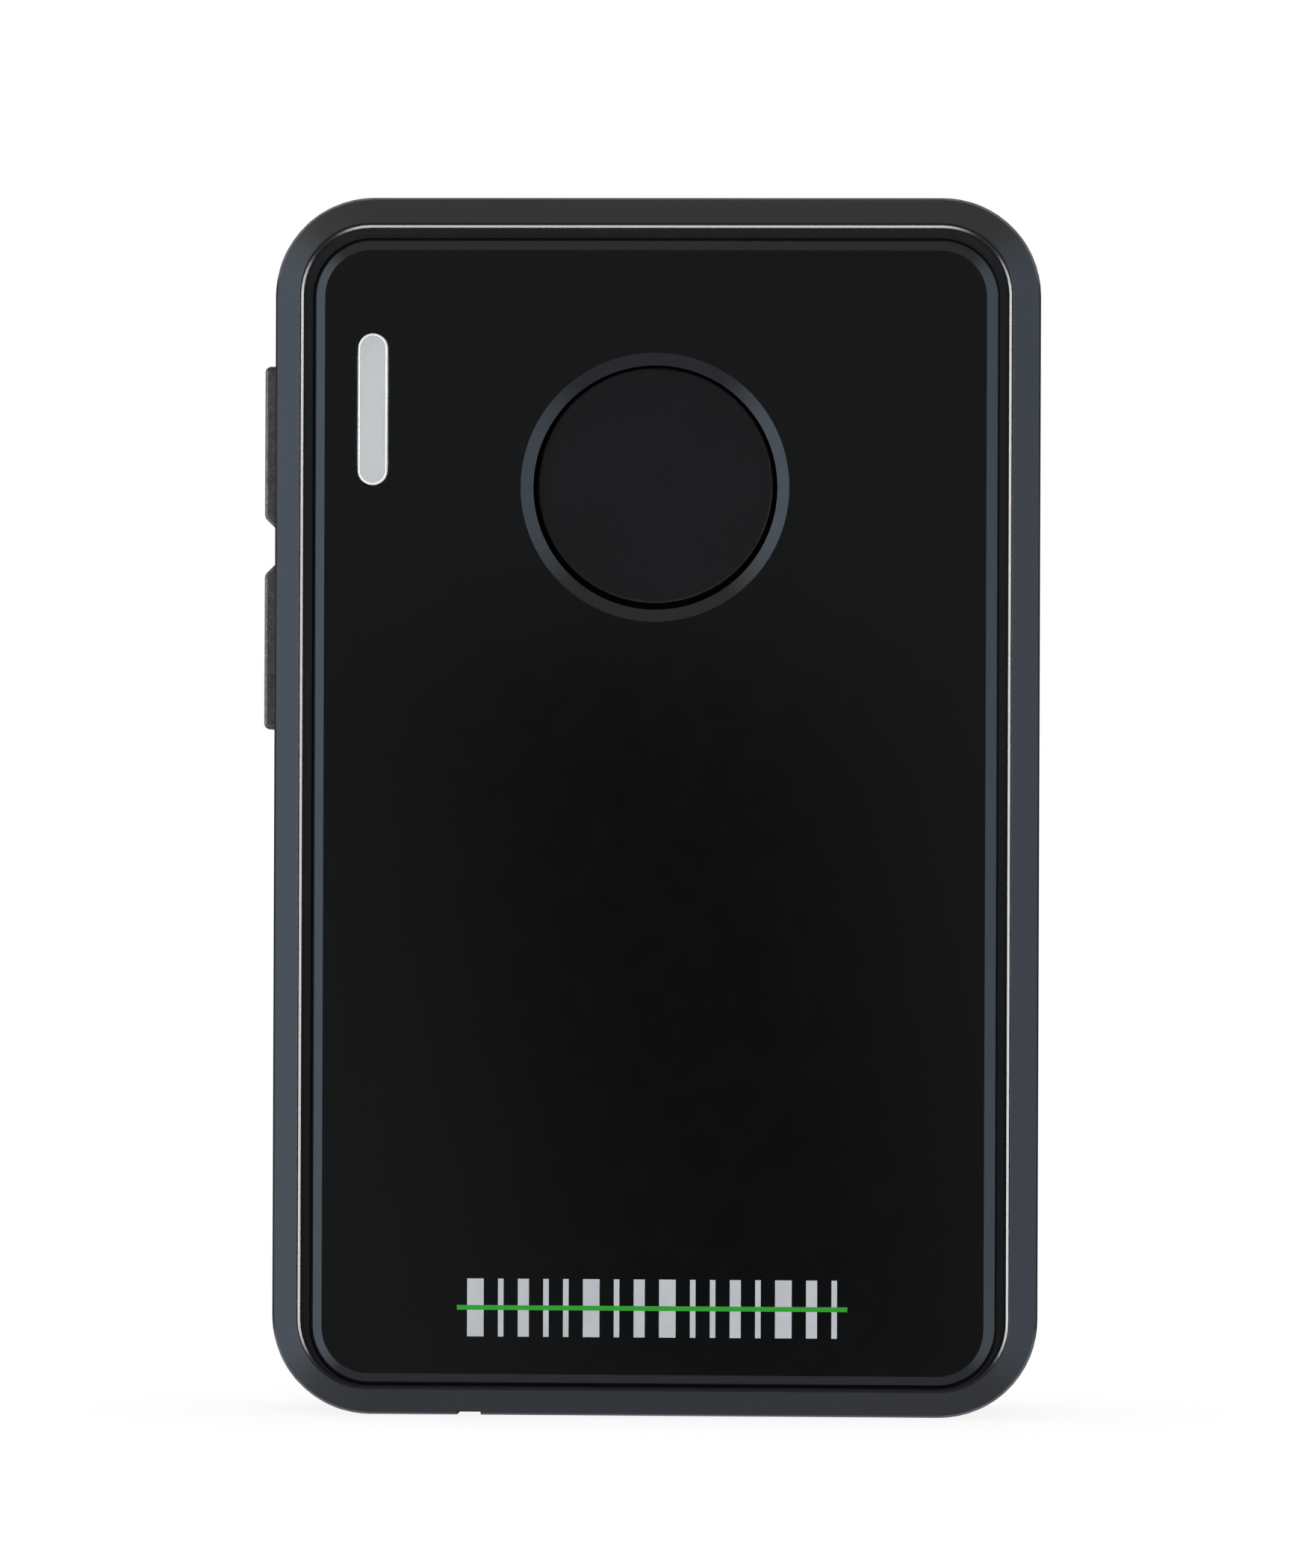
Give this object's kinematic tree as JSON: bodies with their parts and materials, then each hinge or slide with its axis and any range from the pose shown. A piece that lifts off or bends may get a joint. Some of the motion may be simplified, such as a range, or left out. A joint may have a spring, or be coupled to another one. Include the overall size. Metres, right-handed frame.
{
  "type": "pocket barcode reader",
  "caption": "Pocket-size handheld barcode reader with a round thumb trigger, a status light bar, side keys and a scan window in its top end.",
  "frame": {"origin": "middle of the flat back face", "axes": "+Z along the body towards its scanning end, -Y out of the front panel, +X to the right of someone facing the front"},
  "size_m": [0.0459, 0.014, 0.0718],
  "materials": {
    "housing_plastic": "satin dark grey-black moulded plastic",
    "panel_gloss": "gloss black",
    "trigger_rubber": "matte black, very fine texture",
    "side_key_rubber": "matte black, grainy",
    "light_guide": "milky translucent",
    "mark_print": "light grey print",
    "mark_green": "green print",
    "seal_rubber": "soft black silicone",
    "adhesive": "black adhesive film",
    "screw_steel": "dark zinc plated",
    "insert_brass": "knurled",
    "circuit_board": "green solder mask",
    "chip_epoxy": "moulded epoxy",
    "component_ceramic": "fired",
    "ferrite": "dull",
    "can_metal": "tinned",
    "copper_trace": "gold flash",
    "led_lens": "clear epoxy",
    "switch_plastic": "moulded",
    "plunger_plastic": "moulded",
    "battery_pouch": "laminated foil",
    "tape": "paper-backed",
    "wire_red": "insulation",
    "wire_black": "insulation",
    "connector_nylon": "natural nylon",
    "port_steel": "drawn stainless",
    "port_insulator": "black liquid crystal polymer",
    "contact_gold": "gold plated",
    "window_tint": "dark red tinted",
    "engine_metal": "black anodised casting",
    "optical_glass": "coated",
    "flex_film": "amber film",
    "label_film": "blank silver-grey film"
  },
  "bodies": {
    "housing": {"front_housing": "housing_plastic", "rear_housing": "housing_plastic", "housing_seal": "seal_rubber", "housing_screws": "screw_steel", "screw_inserts": "insert_brass", "front_panel": "panel_gloss", "panel_adhesive": "adhesive", "panel_mark_bars": "mark_print", "panel_mark_line": "mark_green", "trigger_switch_body": "switch_plastic", "indicator_light_guide": "light_guide", "indicator_leds": "led_lens", "upper_side_switch_body": "switch_plastic", "lower_side_switch_body": "switch_plastic", "main_board": "circuit_board", "board_screws": "screw_steel", "processor_chip": "chip_epoxy", "memory_chip": "chip_epoxy", "power_chip": "chip_epoxy", "power_inductor": "ferrite", "crystal_can": "can_metal", "small_components": "component_ceramic", "wireless_module_board": "circuit_board", "wireless_shield_can": "can_metal", "wireless_antenna": "copper_trace", "buzzer": "switch_plastic", "battery_cell": "battery_pouch", "battery_tape": "tape", "battery_protection_board": "circuit_board", "battery_wire_red": "wire_red", "battery_wire_black": "wire_black", "battery_header": "connector_nylon", "battery_plug": "connector_nylon", "usb_connector_sleeve": "port_steel", "usb_connector_tongue": "port_insulator", "usb_contacts": "contact_gold", "scan_window": "window_tint", "window_gasket": "seal_rubber", "engine_chassis": "engine_metal", "engine_lens_barrel": "engine_metal", "engine_lens": "optical_glass", "engine_image_sensor": "chip_epoxy", "engine_illumination_led": "led_lens", "engine_illumination_lens": "optical_glass", "engine_aimer_led": "led_lens", "engine_aimer_lens": "optical_glass", "engine_board": "circuit_board", "engine_flex": "flex_film", "engine_socket": "port_insulator", "engine_screws": "screw_steel", "rear_label": "label_film"},
    "trigger": {"trigger_button": "trigger_rubber"},
    "trigger_plunger": {"trigger_switch_plunger": "plunger_plastic"},
    "upper_key": {"upper_side_button": "side_key_rubber"},
    "upper_key_plunger": {"upper_side_switch_plunger": "plunger_plastic"},
    "lower_key": {"lower_side_button": "side_key_rubber"},
    "lower_key_plunger": {"lower_side_switch_plunger": "plunger_plastic"}
  },
  "joints": [
    {"name": "trigger_press", "type": "slide", "parent": "housing", "child": "trigger", "axis": [0, 1, 0], "range_m": [0, 0.00035]},
    {"name": "trigger_plunger_press", "type": "slide", "parent": "housing", "child": "trigger_plunger", "axis": [0, 1, 0], "range_m": [0, 0.00035]},
    {"name": "upper_key_press", "type": "slide", "parent": "housing", "child": "upper_key", "axis": [1, 0, 0], "range_m": [0, 0.0003]},
    {"name": "upper_key_plunger_press", "type": "slide", "parent": "housing", "child": "upper_key_plunger", "axis": [1, 0, 0], "range_m": [0, 0.0003]},
    {"name": "lower_key_press", "type": "slide", "parent": "housing", "child": "lower_key", "axis": [1, 0, 0], "range_m": [0, 0.0003]},
    {"name": "lower_key_plunger_press", "type": "slide", "parent": "housing", "child": "lower_key_plunger", "axis": [1, 0, 0], "range_m": [0, 0.0003]}
  ],
  "couplings": [
    {"joint": "trigger_plunger_press", "follows": "trigger_press", "ratio": 1},
    {"joint": "upper_key_plunger_press", "follows": "upper_key_press", "ratio": 1},
    {"joint": "lower_key_plunger_press", "follows": "lower_key_press", "ratio": 1}
  ]
}
